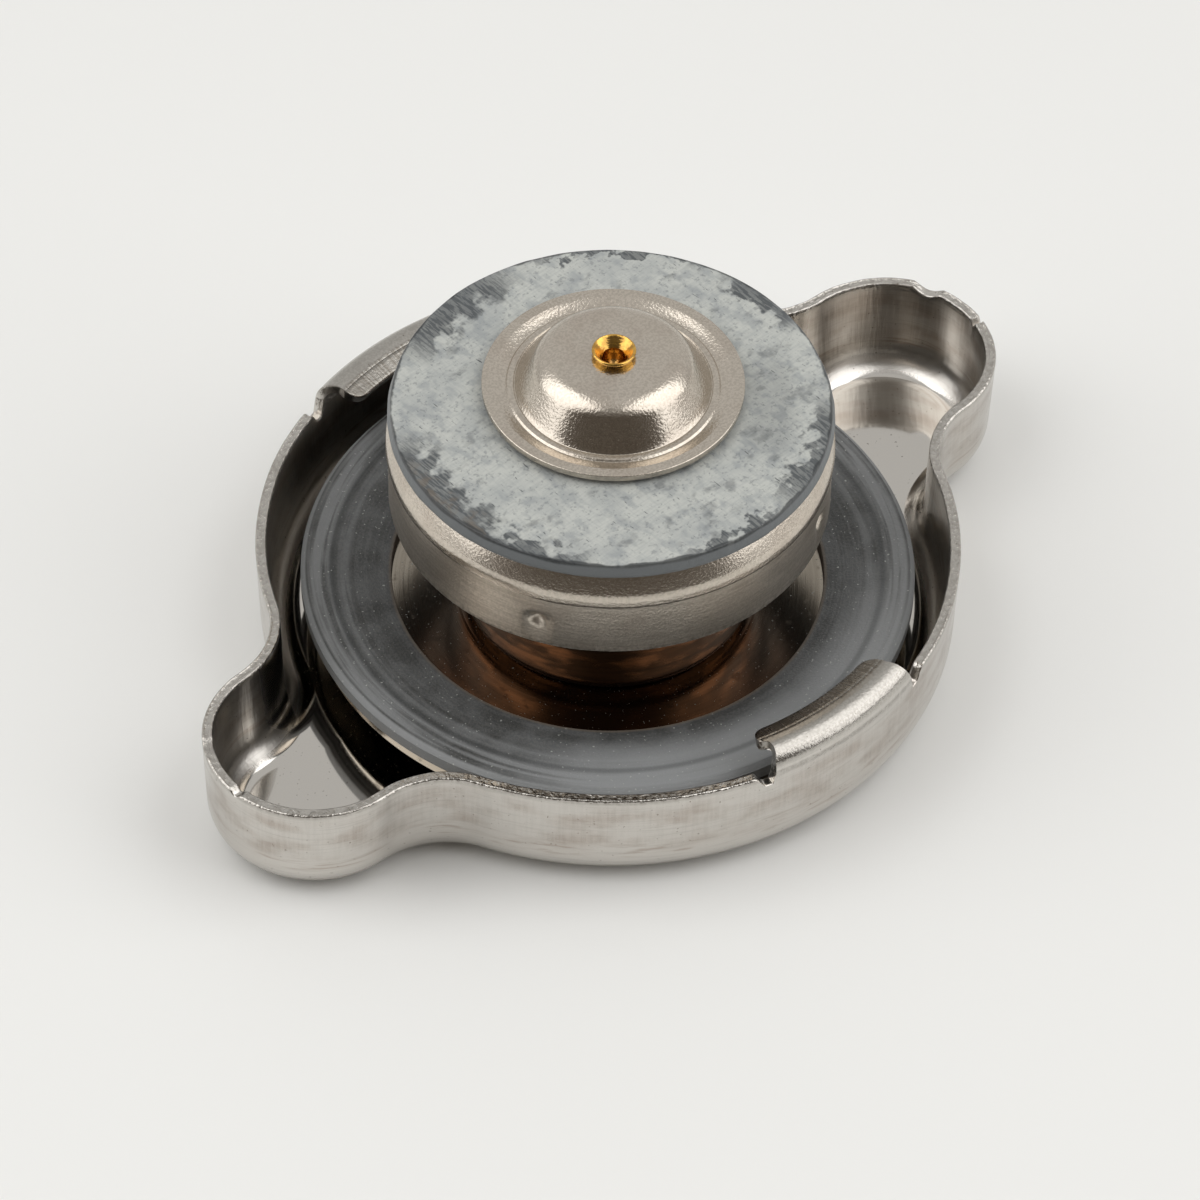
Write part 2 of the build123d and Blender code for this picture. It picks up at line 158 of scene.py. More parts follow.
class CapColours(bpy.types.PropertyGroup):
    """Colours of the cap's finishes and of the stage"""
    nickel: colour("Bright nickel", "#D0CCC6", "Nickel plate on the cover")
    worn: colour("Worn nickel", "#8E8A83", "Nickel plate dulled by wear, and the sheared steel of the rim")
    stain: colour("Handling stain", "#9C897B", "Brownish film on the cover's wall")
    satin: colour("Satin nickel", "#CFC6BA", "Nickel plate on the valve cup and the vacuum disc")
    pitted: colour("Blasted pits", "#8D8779", "Shaded pits of the blasted grain")
    spring: colour("Spring disc", "#A29A8E", "Polished spring steel")
    copper: colour("Copper film", "#7A5338", "Copper-toned plate on the bell")
    # Dark tarnish, also darkening the bell as painted shade under the valve cup
    tarnish_and_painted_shade: colour("Tarnish", "#2F241B", "Dark brown tarnish on the copper-toned plate")
    rubber: colour("Dark rubber", "#464644", "Upper gasket")
    # Pale bloom, also laid as painted light on the upper gasket's front-right face
    bloom_and_painted_light: colour("Rubber bloom", "#949697", "Pale bluish bloom on the rubber's rubbed rings")
    pale: colour("Bloomed rubber", "#B9BBB6", "Pale face of the pressure gasket")
    slate: colour("Slate mottle", "#878C8F", "Blue-grey mottle on the pressure gasket")
    side: colour("Gasket side", "#6B6F71", "Darker side of the pressure gasket")
    bare: colour("Bared rubber", "#45494C", "Dark rubber bared by rubbing")
    rubbed: colour("Rubbed rubber", "#2E3133", "Darkest rubber at sharp edges")
    # Brown dirt and deposit, also used as the painted shadow line under the valve cup's bead
    brown_dirt_and_shade: colour("Brown deposit", "#6B6155", "Coolant deposit and dirt")
    brass: colour("Brass", "#E2B45C", "Turned brass stem")
    steel: colour("Plain steel", "#A9A59E", "Rivet, washers and springs")
    floor: colour("Floor", "#EAEAE8", "Plain pale floor")


def add_node(tree, kind, inputs, output=0, **settings):
    """Adds a node with its settings, sets or links its inputs, and returns one of its outputs, if any."""
    node = tree.nodes.new(kind)
    for name, value in settings.items():
        setattr(node, name, value)
    for socket, value in inputs.items():
        if isinstance(value, bpy.types.NodeSocket):
            tree.links.new(value, node.inputs[socket])
        else:
            node.inputs[socket].default_value = value
    return node if output is None else node.outputs[output]


class Finish:
    """A finish that is built up in coats, with places on its piece in millimetres."""

    def __init__(self, name, colour, roughness, centre=(0.0, 0.0)):
        self.material = bpy.data.materials.new(name)
        self.material.use_nodes = True
        self.tree = tree = self.material.node_tree
        tree.nodes.clear()
        self.colour, self.roughness, self.normal = self.shade(colour), roughness, None
        coords = add_node(tree, "ShaderNodeTexCoord", {}, "Object")
        moved = add_node(tree, "ShaderNodeVectorMath", {0: coords, 1: (-centre[0], -centre[1], 0)},
                         operation="ADD")
        self.point = add_node(tree, "ShaderNodeVectorMath", {0: moved, "Scale": 1 / MM}, operation="SCALE")
        flat = add_node(tree, "ShaderNodeVectorMath", {0: self.point, 1: (1, 1, 0)}, operation="MULTIPLY")
        self.radius = add_node(tree, "ShaderNodeVectorMath", {0: flat}, "Value", operation="LENGTH")
        self.heading = add_node(tree, "ShaderNodeVectorMath", {0: flat}, operation="NORMALIZE")
        self.height = add_node(tree, "ShaderNodeSeparateXYZ", {0: self.point}, "Z")
        reach = add_node(tree, "ShaderNodeCombineXYZ", {"Z": self.radius})
        level = add_node(tree, "ShaderNodeCombineXYZ", {"Z": self.height})
        self.ringed = add_node(tree, "ShaderNodeVectorMath", {0: self.heading, 1: reach}, operation="ADD")
        self.banded = add_node(tree, "ShaderNodeVectorMath", {0: self.heading, 1: level}, operation="ADD")

    @staticmethod
    def shade(name):
        """One of the cap's colours, by its name."""
        return (*getattr(bpy.context.scene.cap_colours, name), 1)

    def spots(self, vector, size, start, end, stretch=(1, 1, 1), detail=3.0):
        """A soft pattern from 0 to 1 whose spots are about size millimetres, longer where stretched."""
        drawn = add_node(self.tree, "ShaderNodeVectorMath", {0: vector, 1: tuple(1 / s for s in stretch)},
                         operation="MULTIPLY")
        noise_value = add_node(self.tree, "ShaderNodeTexNoise",
                               {"Vector": drawn, "Scale": 1 / size, "Detail": detail})
        return self.band(noise_value, start, end)

    def band(self, value, start, full, fade=None, end=None):
        """1 where a value lies between full and fade, easing to 0 at start and end."""
        rising = add_node(self.tree, "ShaderNodeMapRange",
                          {"Value": value, "From Min": start, "From Max": full},
                          interpolation_type="SMOOTHSTEP")
        if end is None:
            return rising
        falling = add_node(self.tree, "ShaderNodeMapRange",
                           {"Value": value, "From Min": end, "From Max": fade},
                           interpolation_type="SMOOTHSTEP")
        return self.where(rising, falling)

    def sector(self, middle, half):
        """1 at a heading in degrees, easing to 0 half degrees either side of it."""
        way = (cos(radians(middle)), sin(radians(middle)), 0)
        facing = add_node(self.tree, "ShaderNodeVectorMath", {0: self.heading, 1: way}, "Value",
                          operation="DOT_PRODUCT")
        return self.band(facing, cos(radians(half)), cos(radians(half * 0.4)))

    def frayed(self, value, size, reach):
        """A value shifted by up to about reach either way, so that a band of it gets a ragged edge."""
        torn = self.spots(self.point, size, 0.3, 0.7, (1, 1, 1), 4)
        centred = add_node(self.tree, "ShaderNodeMath", {0: torn, 1: 0.5}, operation="SUBTRACT")
        return add_node(self.tree, "ShaderNodeMath", {0: centred, 1: 2 * reach, 2: value},
                        operation="MULTIPLY_ADD")

    def where(self, *masks):
        """Where all of the masks lie over each other."""
        shared = masks[0]
        for mask in masks[1:]:
            shared = add_node(self.tree, "ShaderNodeMath", {0: shared, 1: mask}, operation="MULTIPLY")
        return shared

    def coat(self, masks, colour=None, amount=1.0, roughness=None):
        """Lays a coat of a colour, a roughness or both over the last, where its masks say."""
        share = self.where(*masks, amount)
        if colour is not None:
            self.colour = add_node(self.tree, "ShaderNodeMix",
                                   {0: share, 6: self.colour, 7: self.shade(colour)}, 2, data_type="RGBA")
        if roughness is not None:
            self.roughness = add_node(self.tree, "ShaderNodeMix",
                                      {0: share, 2: self.roughness, 3: roughness})

    def work(self, masks, depth):
        """Works a relief of a real depth in millimetres into the surface, where its masks say."""
        inputs = {"Height": self.where(*masks), "Distance": depth * MM}
        if self.normal is not None:
            inputs["Normal"] = self.normal
        self.normal = add_node(self.tree, "ShaderNodeBump", inputs)

    def done(self, **sockets):
        """Ends the finish with its shader and returns the material."""
        inputs = {"Base Color": self.colour, "Roughness": self.roughness, **sockets}
        if self.normal is not None:
            inputs["Normal"] = self.normal
        shader = add_node(self.tree, "ShaderNodeBsdfPrincipled", inputs)
        add_node(self.tree, "ShaderNodeOutputMaterial", {"Surface": shader}, None)
        return self.material


def bright_nickel():
    """Bright nickel on stamped steel: a near mirror, dulled by brushing and film on the walls"""
    f = Finish("bright_nickel_plate", "nickel", 0.06)
    wall = f.band(f.height, 0.75, 1.1)
    f.coat([wall], roughness=0.17)
    # Inside, the plate lies thin over the stamping's own satin surface
    sizes = bpy.context.scene.cap_cover
    level = add_node(f.tree, "ShaderNodeVectorMath", {0: f.point, 1: (1, 1, 0)}, operation="MULTIPLY")
    mirrored = add_node(f.tree, "ShaderNodeVectorMath", {0: level}, operation="ABSOLUTE")
    from_ear = add_node(f.tree, "ShaderNodeVectorMath", {0: mirrored, 1: (sizes.reach / MM, 0, 0)}, "Value",
                        operation="DISTANCE")
    f.coat([wall, f.band(from_ear, 7.0, 6.5)], roughness=0.30)
    f.coat([wall, f.band(f.radius, 22.55, 22.35)], roughness=0.30)
    # Draw lines left by the stamping run up the wall, drawn 0.2 mm apart so that they show
    lines = f.spots(f.point, 0.2, 0.38, 0.62, (1, 1, 16), 2)
    f.coat([lines, f.band(f.height, 3.0, 4.5)], "worn", 0.07, 0.22)
    # Brown film from handling and coolant, thickest half way up the wall
    film = f.spots(f.point, 2.4, 0.38, 0.70, (1.4, 1.4, 0.6), 5)
    f.coat([film, f.band(f.height, 2.4, 4.0, 6.6, 8.0)], "stain", 0.40, 0.26)
    f.coat([film, lines, f.band(f.height, 3.0, 4.2, 6.8, 8.0)], "brown_dirt_and_shade", 0.10)
    hair = f.spots(f.banded, 0.12, 0.52, 0.66, (1.6, 1.6, 1), 3)
    f.coat([hair, wall], "worn", 0.16)
    scuffs = f.spots(f.banded, 0.3, 0.52, 0.66, (0.35, 0.35, 1), 4)
    f.coat([scuffs, f.band(f.height, 2.3, 2.8, 3.4, 4.2)], "stain", 0.42, 0.30)
    # The sheared rim has torn facets a few tenths of a millimetre across
    rim = f.band(f.height, 7.55, 7.85, 8.12, 8.3)
    torn = f.spots(f.point, 0.3, 0.35, 0.65)
    f.coat([rim], "worn", 0.22, 0.24)
    f.coat([rim, torn], "brown_dirt_and_shade", 0.24, 0.32)
    # The lugs are strained over their bends, which roughens the plate like fine orange peel
    lug = f.band(f.height, 8.3, 8.8)
    grain = f.spots(f.point, 0.17, 0.36, 0.64, detail=1)
    f.coat([lug], "worn", 0.42, 0.30)
    f.coat([lug, grain], "worn", 0.34)
    streaks = f.spots(f.heading, 0.006, 0.40, 0.62, detail=2)
    lip = f.where(f.band(f.height, 8.5, 8.7), f.band(f.radius, 21.35, 21.15))
    f.coat([lip], "worn", 0.45, 0.24)
    f.coat([lip, streaks], "brown_dirt_and_shade", 0.50, 0.32)
    specks = f.spots(f.point, 0.22, 0.73, 0.78, detail=1)
    f.coat([specks], "brown_dirt_and_shade", 0.7)
    f.work([lines, wall], 0.003)
    f.work([torn, rim], 0.026)
    f.work([grain, lug], 0.004)
    return f.done(Metallic=1.0)


def satin_nickel(name, roughness, brushed):
    """Satin nickel on pressed steel: a soft sheen broken up by fine blasted grain"""
    f = Finish(name, "satin", roughness)
    # The blasted grain is finer than the picture can show, so it is drawn 0.17 mm across
    grain = f.spots(f.point, 0.17, 0.36, 0.64, detail=1)
    f.coat([grain], "pitted", 0.24)
    cloud = f.spots(f.point, 3.0, 0.45, 0.65, detail=4)
    f.coat([cloud], "stain", 0.16, roughness + 0.06)
    if brushed:
        # Hair lines run round the skirt, and dirt has gathered along its lower edge
        hair = f.spots(f.banded, 0.13, 0.40, 0.62, (1.6, 1.6, 1), 2)
        f.coat([hair, f.band(f.height, 12.0, 12.1, 16.6, 16.8)], "brown_dirt_and_shade", 0.20)
        f.coat([f.band(f.height, 16.7, 16.5)], roughness=0.33)
        dirt = f.spots(f.point, 0.3, 0.40, 0.66, detail=5)
        f.coat([dirt, f.band(f.height, 13.4, 12.6)], "brown_dirt_and_shade", 0.50, 0.42)
        # Painted shadow: a dark brown line along the step, where the bead shades the skirt
        f.coat([f.band(f.height, 16.62, 16.76, 16.84, 16.95)], "brown_dirt_and_shade", 0.65)
    f.work([grain], 0.005)
    return f.done(Metallic=1.0)


def polished_spring_steel():
    """Rolled spring steel, polished: a dark mirror with turning marks and specks of dust"""
    f = Finish("polished_spring_steel", "spring", 0.15)
    rings = f.spots(f.ringed, 0.12, 0.35, 0.65, (12, 12, 1), 2)
    f.coat([rings], "brown_dirt_and_shade", 0.25, 0.22)
    f.coat([f.spots(f.point, 0.16, 0.71, 0.76, detail=1)], "pale", 0.9, 0.6)
    f.coat([f.spots(f.point, 1.2, 0.60, 0.68, (1, 1, 1), 4)], "brown_dirt_and_shade", 0.5, 0.3)
    f.work([rings], 0.0012)
    return f.done(Metallic=1.0)


def copper_film():
    """Copper-toned plate over steel: dark brown and streaky, with a dull golden shine, its tarnish deepened
    with painted shade from the valve cup above
    """
    f = Finish("copper_toned_plate", "copper", 0.18)
    streaks = f.spots(f.banded, 0.5, 0.35, 0.65, (2, 2, 1), 3)
    # Partly real tarnish, partly painted shade: the dark coats stand in for the shade that the valve cup
    # casts on the bell
    f.coat([streaks], "tarnish_and_painted_shade", 0.62, 0.30)
    f.coat([f.spots(f.point, 2.5, 0.36, 0.58, (1, 1, 0.4), 2)], "tarnish_and_painted_shade", 0.72, 0.32)
    f.work([streaks], 0.003)
    return f.done(Metallic=1.0)


def dark_rubber():
    """Moulded nitrile rubber: dark and close-grained, with pale rings rubbed by the filler neck, and
    painted light on its front-right face
    """
    f = Finish("moulded_dark_rubber", "rubber", 0.52)
    # Rings are drawn about 0.25 mm apart, the grain of the mould about 0.2 mm across
    rings = f.spots(f.ringed, 0.22, 0.36, 0.64, (6, 6, 1), 3)
    grain = f.spots(f.point, 0.17, 0.40, 0.60, detail=2)
    smear = f.spots(f.point, 2.6, 0.38, 0.62, detail=4)
    f.coat([rings], "bloom_and_painted_light", 0.11)
    f.coat([grain], "rubbed", 0.46)
    # Painted light: a pale sector on the front-right of the face stands in for the light that falls there
    f.coat([f.sector(262, 62), f.band(f.radius, 14.8, 17.0)], "bloom_and_painted_light", 0.74)
    f.coat([smear], "bloom_and_painted_light", 0.16, 0.56)
    worn = f.spots(f.ringed, 0.5, 0.34, 0.56, (1.2, 1.2, 1), 4)
    f.coat([worn, f.band(f.radius, 16.7, 17.1, 17.4, 17.9)], "bloom_and_painted_light", 0.26)
    f.coat([worn, f.band(f.radius, 18.0, 18.5, 19.5, 19.75)], "bloom_and_painted_light", 0.60, 0.44)
    f.coat([f.band(f.radius, 19.72, 19.86)], "bloom_and_painted_light", 0.8)
    f.coat([f.band(f.radius, 17.7, 17.95, 18.05, 18.4)], "rubbed", 0.35)
    f.coat([f.band(f.radius, 14.45, 14.25)], "brown_dirt_and_shade", 0.7)
    f.coat([f.spots(f.point, 0.2, 0.71, 0.76, detail=1)], "pale", 0.7)
    f.work([grain], 0.008)
    f.work([rings], 0.006)
    return f.done(IOR=1.5)


RUBBED_PLACES = (   # heading and half width in degrees, how far in from the edge in millimetres
    (172, 26, 2.4),
    (203, 22, 1.5),
    (300, 24, 1.7),
    (262, 18, 0.9),
    (98, 26, 2.6),
    (2, 16, 1.6),
    (45, 30, 0.7),
)


def bloomed_rubber():
    """Rubber bloomed pale by heat and coolant: mottled blue-grey, rubbed bare and dark at its edge"""
    f = Finish("bloomed_grey_rubber", "pale", 0.52)
    edge = bpy.context.scene.cap_valves.gasket_edge / MM
    f.coat([f.spots(f.point, 3.4, 0.42, 0.64, (1, 1, 1), 5)], "slate", 0.34)
    f.coat([f.spots(f.point, 0.8, 0.48, 0.66, (1, 1.6, 1), 8)], "slate", 0.52)
    f.coat([f.spots(f.point, 0.26, 0.58, 0.68, detail=2)], "side", 0.46)
    # Fine strokes cross the face both ways, drawn 0.15 mm wide so that they show
    strokes = f.spots(f.point, 0.15, 0.46, 0.64, (9, 1, 1), 3)
    crossing = f.spots(f.point, 0.15, 0.48, 0.64, (1, 8, 1), 3)
    f.coat([strokes], "slate", 0.20)
    f.coat([crossing], "slate", 0.16)
    f.coat([f.spots(f.point, 1.3, 0.57, 0.70, (1.4, 1, 1), 6)], "bare", 0.42, 0.42)
    f.coat([f.spots(f.point, 0.34, 0.70, 0.73, (0.5, 3.0, 1), 2)], "bare", 0.85, 0.4)
    # A darker blue-grey smudge beside the vacuum disc's rim, on the right side
    f.coat([f.sector(-43, 30), f.band(f.radius, 8.6, 9.6, 11.0, 12.6)], "bare", 0.30)
    # Rubbing has bared dark rubber in ragged, streaky places at the edge
    ragged = f.frayed(f.radius, 1.1, 0.9)
    for middle, half, reach in RUBBED_PLACES:
        place = f.where(f.sector(middle, half), f.band(ragged, edge - 0.9 * reach, edge - 0.5 * reach))
        f.coat([place, f.band(crossing, -0.6, 0.3)], "bare", 0.95, 0.36)
    f.coat([f.sector(178, 22), f.band(ragged, edge - 1.0, edge)], "brown_dirt_and_shade", 0.6)
    f.coat([f.band(f.frayed(f.radius, 1.6, 0.12), edge - 0.20, edge - 0.04)], "rubbed", 0.85, 0.34)
    f.coat([f.band(f.radius, edge + 0.02, edge + 0.07)], "side", 0.9, 0.45)
    f.work([f.spots(f.point, 0.35, 0.35, 0.65, detail=4)], 0.012)
    return f.done(IOR=1.5)


def turned_brass():
    """Turned brass: warm and bright, with the cutter's rings and a darker copper tone inside the flare"""
    f = Finish("turned_brass", "brass", 0.14, valve_axis())
    rings = f.spots(f.ringed, 0.08, 0.35, 0.65, (4, 4, 1), 2)
    f.coat([f.spots(f.point, 0.4, 0.42, 0.62)], "copper", 0.40, 0.28)
    # Darker deeper in the flare's hollow
    f.coat([f.band(f.radius, 0.95, 0.6)], "copper", 0.55)
    f.work([rings], 0.004)
    return f.done(Metallic=1.0)


def plain_steel():
    """Zinc-plated steel of the rivet, washers and seat: grey, with a light grain"""
    f = Finish("plain_plated_steel", "steel", 0.24)
    grain = f.spots(f.point, 0.2, 0.35, 0.65)
    f.coat([grain], "worn", 0.35, 0.36)
    f.work([grain], 0.006)
    return f.done(Metallic=1.0)


def valve_axis():
    """Where the vacuum valve's own axis stands, from its disc in the frame."""
    lowest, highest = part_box("vacuum_disc")
    return (lowest.x + highest.x) / 2, (lowest.y + highest.y) / 2


def draw_section(bm, corners, closed):
    """Draws a section in the XZ plane from corners (radius, height, bend), each bend as an arc."""
    verts = [bm.verts.new((corner[0], 0, corner[1])) for corner in corners]
    for pair in zip(verts, verts[1:] + (verts[:1] if closed else [])):
        bm.edges.new(pair)
    for i, corner in enumerate(corners):
        if len(corner) > 2:
            before, here, after = (Vector(corners[(i + k) % len(corners)][:2]) for k in (-1, 0, 1))
            turn = (here - before).angle(after - here)
            segments = max(3, ceil(turn * corner[2] / ARC_STEP))
            bmesh.ops.bevel(bm, geom=[verts[i]], offset=corner[2] * tan(turn / 2), offset_type="OFFSET",
                            segments=segments, profile=0.5, affect="VERTICES", material=-1)


def turned(corners, closed=True, steps=TURN_STEPS, longest=None, past=0.0, centre=(0.0, 0.0)):
    """A section spun about the cap's axis, or one beside it, with edges past a radius divided."""
    bm = bmesh.new()
    draw_section(bm, corners, closed)
    if longest:
        for edge in [e for e in bm.edges if min(v.co.x for v in e.verts) > past]:
            cuts = int(edge.calc_length() / longest)
            if cuts:
                bmesh.ops.subdivide_edges(bm, edges=[edge], cuts=cuts)
    bmesh.ops.spin(bm, geom=bm.verts[:] + bm.edges[:], cent=(0, 0, 0), axis=(0, 0, 1), dvec=(0, 0, 0),
                   angle=tau, steps=steps, use_merge=True)
    bmesh.ops.remove_doubles(bm, verts=bm.verts, dist=0.0005 * MM)
    bmesh.ops.recalc_face_normals(bm, faces=bm.faces)
    bmesh.ops.translate(bm, verts=bm.verts, vec=(*centre, 0))
    return bm


def add_piece(node, bm, body, material, sheet=0.0, edge=0.0):
    """Makes the finished piece that stands for a node: smooth, with its wall, finish and body, and hides
    the node.
    """
    name = node + "_finish"
    for face in bm.faces:
        face.smooth = True
    for line in bm.edges:
        line.smooth = line.calc_face_angle(0) < SHARP_ANGLE
    mesh = bpy.data.meshes.new(name)
    bm.to_mesh(mesh)
    bm.free()
    piece = bpy.data.objects.new(name, mesh)
    bpy.context.scene.collection.objects.link(piece)
    mesh.materials.append(material)
    if sheet:
        wall = piece.modifiers.new("wall", "SOLIDIFY")
        wall.thickness, wall.offset, wall.use_even_offset = sheet, 0.0, True
    if edge:
        rounding = piece.modifiers.new("edge", "BEVEL")
        rounding.width, rounding.segments, rounding.limit_method = edge, 3, "ANGLE"
        rounding.angle_limit, rounding.harden_normals = SHARP_ANGLE, True
    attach(piece, body)
    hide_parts(node)
    return piece


def stray(point, size, amount):
    """A smooth uneven shift at a point, with swells of about size and up to about amount."""
    return noise.noise(Vector(point) / size) * amount


EAR_NICKS = (   # side of the cap, angle on the ear's round end, width and depth of the nick
    (1, radians(23), 1.8 * MM, 0.55 * MM),
    (1, radians(-15), 0.5 * MM, 0.6 * MM),
    (-1, radians(-4), 0.8 * MM, 0.35 * MM),
    (-1, radians(33), 1.2 * MM, 0.18 * MM),
)
LUG_MIDDLES = (pi / 2, 3 * pi / 2)
# Each stretch of a lug's mid-line, from the rim to its lip: how long it is and how far it turns, in degrees
LUG_WAY = ((0.2 * MM, 0), (1.675 * MM, 101), (0.22 * MM, 0), (0.12 * MM, 34), (0.16 * MM, -50),
           (0.14 * MM, 24), (0.95 * MM, 0))
LUG_CORNER = 1.0 * MM
LUG_TAPER = 0.8 * MM        # how much the lug's later end has leant in by the top of its bend
LUG_STEP = 0.1 * MM
PLAN_STEP = 0.2 * MM
BAND_FOOT = 6.2 * MM        # the wall above this height follows the rim's nicks
SHEAR_GROOVE = 0.09 * MM    # the line that shearing the sheet leaves along its cut edge
LUG_WAIST = 0.30 * MM       # how far the lug's first end draws in at its bend
LUG_FLARE = 0.35 * MM       # how far the same end stands out again at its lip
RIM_ROUNDING = 0.12 * MM    # at both sides of the cut edge
HOLE_ROUNDING = 0.05 * MM   # at both ends of the rivet's hole
BEND_STEPS, INNER_STEPS, OUTER_STEPS = 9, 11, 12   # of a bend, the inner wall and the outer wall
RIM_RINGS = 7               # the first rings of the section, which lie over the rim


class Station:
    """One place on the cover's plan, which knows its point at any inset and any radius."""

    def __init__(self, centre, radius, inward, angle, kind):
        self.centre, self.radius, self.inward = Vector(centre), radius, inward
        self.angle, self.kind = angle, kind
        self.drop = 0.0

    def at_inset(self, inset, height):
        reach = self.radius + self.inward * inset
        return Vector((self.centre.x + reach * cos(self.angle), self.centre.y + reach * sin(self.angle),
                       height))

    def at_radius(self, radius, height, start):
        spot = self.at_inset(start, 0)
        return Vector((spot.x, spot.y, 0)).normalized() * radius + Vector((0, 0, height))

    def turn(self):
        spot = self.at_inset(0, 0)
        return atan2(spot.y, spot.x) % tau


def cover_stations(s):
    """Stations round the cover's plan: two ears, two body arcs and the four hollow blends."""
    to_body, to_ear = s.body + s.blend, s.ear + s.blend
    x = (to_body ** 2 - to_ear ** 2 + s.reach ** 2) / (2 * s.reach)
    y = sqrt(to_body ** 2 - x * x)
    body_angle, ear_angle = atan2(y, x), atan2(y, x - s.reach)
    blend_ear, blend_body = atan2(-y, s.reach - x), atan2(-y, -x)
    arcs = (
        ((s.reach, 0), s.ear, -1, -ear_angle, ear_angle, "ear"),
        ((x, y), s.blend, 1, blend_ear, blend_body, "blend"),
        ((0, 0), s.body, -1, body_angle, pi - body_angle, "body"),
        ((-x, y), s.blend, 1, pi - blend_body, pi - blend_ear, "blend"),
        ((-s.reach, 0), s.ear, -1, pi - ear_angle, pi + ear_angle, "ear"),
        ((-x, -y), s.blend, 1, pi + blend_ear, pi + blend_body, "blend"),
        ((0, 0), s.body, -1, pi + body_angle, tau - body_angle, "body"),
        ((x, -y), s.blend, 1, -blend_body, -blend_ear, "blend"),
    )
    stations = []
    for centre, radius, inward, start, end, kind in arcs:
        count = ceil(abs(end - start) * radius / PLAN_STEP)
        for i in range(count):
            stations.append(Station(centre, radius, inward, start + (end - start) * i / count, kind))
    return stations


def bell_shape(x):
    """1 in the middle, easing to 0 at a distance of 1."""
    x = min(abs(x), 1.0)
    return 1 - x * x * (3 - 2 * x)


def set_rim_drops(s, stations):
    """Sets how far the rim lies under its full height at each station: notches, nicks and unevenness."""
    for station in stations:
        spot = station.at_inset(0, s.rim)
        station.drop = stray(spot, 1.1 * MM, 0.045 * MM) + stray(spot, 6 * MM, 0.10 * MM)
        if station.kind == "body":
            for middle in LUG_MIDDLES:
                away = (abs(station.turn() - middle) - s.lug_half) * s.body
                if 0 < away < s.notch_width:
                    station.drop = s.notch_depth * bell_shape(max(0, away / s.notch_width - 0.45) / 0.55)
                elif -s.lug_half * s.body < away <= 0:
                    station.drop = 0.0
        elif station.kind == "ear":
            for side, angle, width, depth in EAR_NICKS:
                at = station.angle if side > 0 else pi - station.angle
                if station.centre.x * side > 0:
                    station.drop += depth * bell_shape((at - angle) * s.ear / (0.6 * width)) ** 0.6


def cover_rings(s):
    """The rings that make the closed wall of the cover, from the rim's outer edge round to its inner."""
    rings, slope = [], tan(s.flare)

    def wall(height):
        """How far the leaning wall stands in from the rim at a height."""
        return (s.rim - height) * slope

    def bend(kind, across, height, radius, start, end, steps=BEND_STEPS):
        """A quarter bend about a place, between two angles in degrees."""
        for i in range(steps + 1):
            t = radians(start + (end - start) * i / steps)
            rings.append((kind, across + radius * cos(t), height + radius * sin(t)))

    edge = RIM_ROUNDING
    for inset, height in ((0, s.rim - edge), (edge * 0.3, s.rim - edge * 0.3), (edge, s.rim),
                          (0.4 * s.sheet, s.rim - SHEAR_GROOVE), (s.sheet - edge, s.rim),
                          (s.sheet - edge * 0.3, s.rim - edge * 0.3), (s.sheet, s.rim - edge)):
        rings.append(("plan", inset, height))
    inner = s.corner - s.sheet
    for i in range(1, INNER_STEPS):
        height = s.rim - edge + (s.sheet + inner - s.rim + edge) * i / INNER_STEPS
        rings.append(("plan", s.sheet + wall(height), height))
    bend("plan", s.sheet + wall(s.sheet + inner) + inner, s.sheet + inner, inner, 180, 270)
    plateau, rise = s.recess + s.sheet, s.recess_depth + s.sheet
    big = s.recess_corner + s.sheet
    rings.append(("round", plateau + 1.0 * MM, s.sheet))
    rings.append(("round", plateau, s.sheet))
    bend("round", plateau - big, rise - big, big, 0, 90)
    for across, height in (((plateau + s.hole) / 2, rise), (s.hole + HOLE_ROUNDING, rise),
                           (s.hole, rise - HOLE_ROUNDING), (s.hole, s.recess_depth + HOLE_ROUNDING),
                           (s.hole + HOLE_ROUNDING, s.recess_depth),
                           ((s.recess + s.hole) / 2, s.recess_depth)):
        rings.append(("round", across, height))
    small, mouth, outer = s.recess_corner, s.recess_mouth, s.corner
    bend("round", s.recess - small, s.recess_depth - small, small, 90, 0)
    bend("round", s.recess + mouth, mouth, mouth, 180, 270)
    bend("plan", wall(outer) + outer, outer, outer, 270, 180, OUTER_STEPS)
    for i in range(1, OUTER_STEPS):
        height = outer + (s.rim - edge - outer) * i / OUTER_STEPS
        rings.append(("plan", wall(height), height))
    return rings


def ring_point(s, station, ring):
    """Where one ring passes one station, with the band under the rim following its nicks."""
    kind, across, height = ring
    if kind == "round":
        return station.at_radius(across, height, s.corner + s.sheet)
    if height > BAND_FOOT:
        height = BAND_FOOT + (height - BAND_FOOT) * (s.rim - station.drop - BAND_FOOT) / (s.rim - BAND_FOOT)
    spot = station.at_inset(across, height)
    push = stray((spot.x, spot.y, height), 7 * MM, 0.07 * MM) * min(1.0, height / s.rim)
    return station.at_inset(across - push, height)


def lug_stations():
    """Steps along a lug's mid-line: its pull inwards, its rise above the rim and its lean."""
    pull, rise, lean, steps = 0.0, 0.0, 0.0, [(0.0, 0.0, 0.0)]
    for run, turn in LUG_WAY:
        count = max(1, ceil(run / LUG_STEP))
        for _ in range(count):
            lean += radians(turn) / count / 2
            pull += run / count * sin(lean)
            rise += run / count * cos(lean)
            lean += radians(turn) / count / 2
            steps.append((pull, rise, lean))
    return steps


